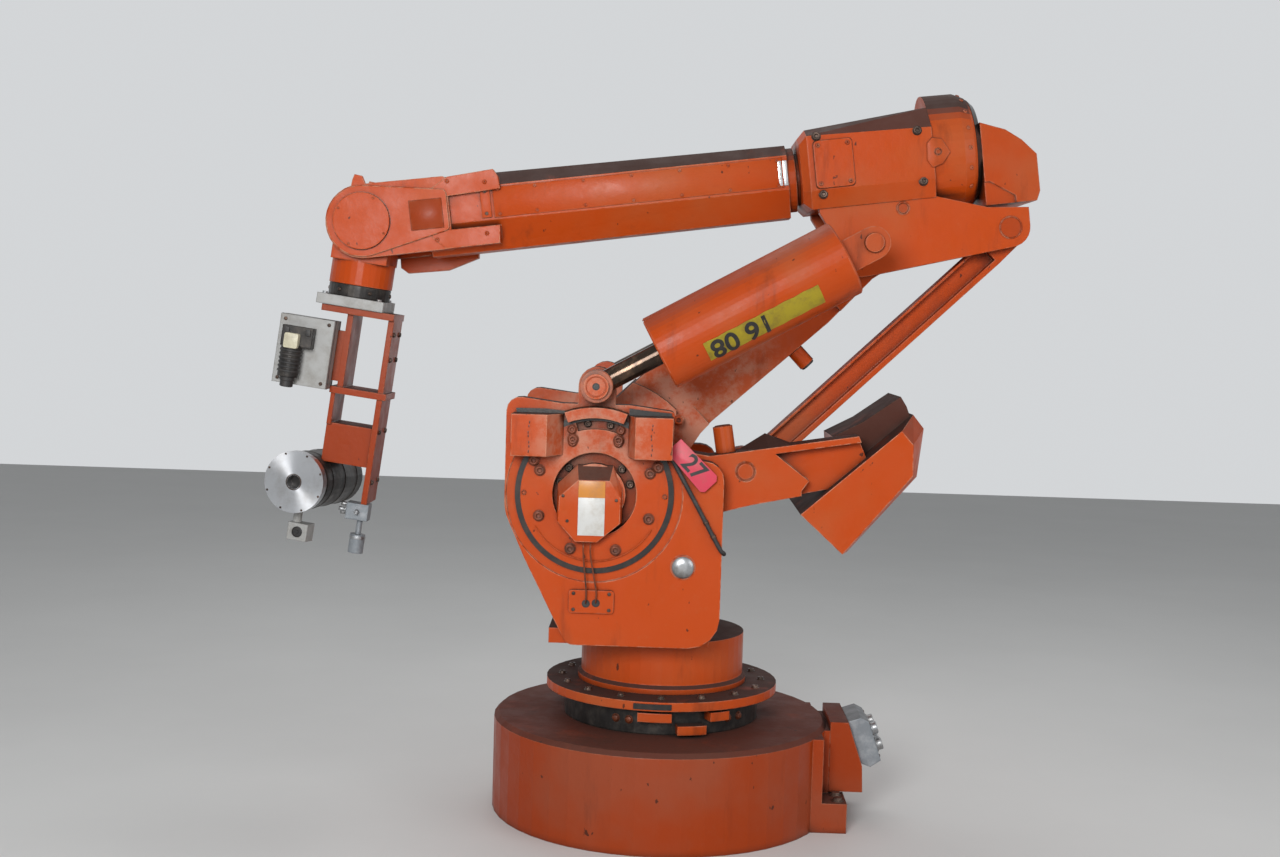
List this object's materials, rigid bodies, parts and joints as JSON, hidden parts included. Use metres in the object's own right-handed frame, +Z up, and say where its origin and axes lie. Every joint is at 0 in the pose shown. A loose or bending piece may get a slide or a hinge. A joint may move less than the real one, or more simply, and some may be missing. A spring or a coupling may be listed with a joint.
{
  "type": "industrial robot arm",
  "caption": "Floor-standing articulated arm with a parallelogram linkage, balancing cylinders, a counterweight and a hanging spindle tool.",
  "frame": {"origin": "on the floor under the first (vertical) axis", "axes": "+Z up along the first axis, +X the way the arm reaches, +Y the arm's left"},
  "size_m": [2.0561, 0.928, 1.9869],
  "materials": {
    "orange_paint": "dusty worn orange enamel",
    "dark_steel": "dark oiled steel",
    "bright_steel": "machined steel",
    "pale_paint": "pale paint, dusty",
    "grey_metal": "dull grey panel"
  },
  "bodies": {
    "base": {"base_casting": "orange_paint", "connector_box": "orange_paint", "connector_panel": "grey_metal", "bearing_drum": "dark_steel", "axis_1_stop_a": "orange_paint", "axis_1_stop_b": "orange_paint", "axis_1_stop_c": "orange_paint"},
    "turret": {"turret_ring": "orange_paint", "turret_column": "orange_paint", "turret_floor": "orange_paint", "left_side_plate": "orange_paint", "right_side_plate": "orange_paint", "left_drive_flange": "orange_paint", "right_drive_flange": "orange_paint", "left_drive_motor": "orange_paint", "right_drive_motor": "orange_paint", "left_crown_bracket": "orange_paint", "right_crown_bracket": "orange_paint", "left_front_stop_block": "orange_paint", "left_rear_stop_block": "orange_paint", "right_front_stop_block": "orange_paint", "right_rear_stop_block": "orange_paint", "left_balance_pivot": "bright_steel", "right_balance_pivot": "bright_steel", "cable_plate": "orange_paint"},
    "lower_arm": {"lower_arm": "orange_paint", "lower_arm_stop": "orange_paint"},
    "elbow_pin": {"elbow_pin": "bright_steel"},
    "left_balance_rod": {"left_balance_rod": "dark_steel"},
    "right_balance_rod": {"right_balance_rod": "dark_steel"},
    "left_balance_can": {"left_balance_can": "orange_paint"},
    "right_balance_can": {"right_balance_can": "orange_paint"},
    "parallel_arm": {"parallel_arm": "orange_paint", "parallel_arm_stop": "orange_paint", "counterweight": "orange_paint"},
    "lower_link_pin": {"lower_link_pin": "bright_steel"},
    "parallel_rod": {"parallel_rod": "orange_paint"},
    "upper_arm": {"upper_arm_housing": "orange_paint", "housing_hatch": "orange_paint", "axis_4_gear_ring": "orange_paint", "wrist_motor_cover": "orange_paint", "upper_link_pin": "bright_steel"},
    "forearm": {"forearm": "orange_paint", "left_wrist_cover": "orange_paint", "right_wrist_cover": "orange_paint"},
    "wrist": {"wrist_housing": "orange_paint"},
    "tool": {"tool_flange": "dark_steel", "adapter_plate": "pale_paint", "tool_bracket": "orange_paint", "junction_box": "pale_paint", "junction_connector": "dark_steel", "tool_spindle": "dark_steel", "spindle_disc": "bright_steel", "spindle_socket": "pale_paint", "valve_block": "grey_metal"}
  },
  "joints": [
    {"name": "axis_1", "type": "hinge", "parent": "base", "child": "turret", "pos_m": [0, 0, 0], "axis": [0, 0, 1], "range_deg": [-180, 180]},
    {"name": "axis_2", "type": "hinge", "parent": "turret", "child": "lower_arm", "pos_m": [0.188, 0, 0.9], "axis": [0, 1, 0], "range_deg": [-8, 116]},
    {"name": "axis_3_pin", "type": "hinge", "parent": "lower_arm", "child": "elbow_pin", "pos_m": [-0.49537, 0, 1.55993], "axis": [0, 1, 0], "range_deg": [-116, 8]},
    {"name": "axis_3", "type": "hinge", "parent": "elbow_pin", "child": "upper_arm", "pos_m": [-0.49537, 0, 1.55993], "axis": [0, 1, 0], "range_deg": [-37, 8]},
    {"name": "axis_4", "type": "hinge", "parent": "upper_arm", "child": "forearm", "pos_m": [-0.46848, 0, 1.76416], "axis": [0.9914, 0, -0.1305], "range_deg": [-300, 300]},
    {"name": "axis_5", "type": "hinge", "parent": "forearm", "child": "wrist", "pos_m": [0.83923, 0, 1.592], "axis": [0, 1, 0], "range_deg": [-180, 30]},
    {"name": "axis_6", "type": "hinge", "parent": "wrist", "child": "tool", "pos_m": [0.83923, 0, 1.592], "axis": [0.1305, 0, -0.9914], "range_deg": [-300, 300]},
    {"name": "parallel_arm_hinge", "type": "hinge", "parent": "turret", "child": "parallel_arm", "pos_m": [0.188, 0, 0.9], "axis": [0, 1, 0], "range_deg": [-37, 8]},
    {"name": "lower_link_pin_hinge", "type": "hinge", "parent": "parallel_arm", "child": "lower_link_pin", "pos_m": [-0.2017, 0, 0.96451], "axis": [0, 1, 0], "range_deg": [-8, 37]},
    {"name": "parallel_rod_hinge", "type": "hinge", "parent": "lower_link_pin", "child": "parallel_rod", "pos_m": [-0.2017, 0, 0.96451], "axis": [0, 1, 0], "range_deg": [-8, 116]},
    {"name": "left_rod_hinge", "type": "hinge", "parent": "turret", "child": "left_balance_rod", "pos_m": [0.188, 0, 1.18], "axis": [0, 1, 0], "range_deg": [-10.4, 150.8]},
    {"name": "right_rod_hinge", "type": "hinge", "parent": "turret", "child": "right_balance_rod", "pos_m": [0.188, 0, 1.18], "axis": [0, 1, 0], "range_deg": [-10.4, 150.8]},
    {"name": "left_can_hinge", "type": "hinge", "parent": "lower_arm", "child": "left_balance_can", "pos_m": [-0.49537, 0, 1.55993], "axis": [0, 1, 0], "range_deg": [-2.4, 34.8]},
    {"name": "right_can_hinge", "type": "hinge", "parent": "lower_arm", "child": "right_balance_can", "pos_m": [-0.49537, 0, 1.55993], "axis": [0, 1, 0], "range_deg": [-2.4, 34.8]}
  ],
  "couplings": [
    {"joint": "axis_3_pin", "follows": "axis_2", "ratio": -1},
    {"joint": "parallel_arm_hinge", "follows": "axis_3", "ratio": 1},
    {"joint": "lower_link_pin_hinge", "follows": "axis_3", "ratio": -1},
    {"joint": "parallel_rod_hinge", "follows": "axis_2", "ratio": 1},
    {"joint": "left_rod_hinge", "follows": "axis_2", "ratio": 1.3},
    {"joint": "right_rod_hinge", "follows": "axis_2", "ratio": 1.3},
    {"joint": "left_can_hinge", "follows": "axis_2", "ratio": 0.3},
    {"joint": "right_can_hinge", "follows": "axis_2", "ratio": 0.3}
  ]
}
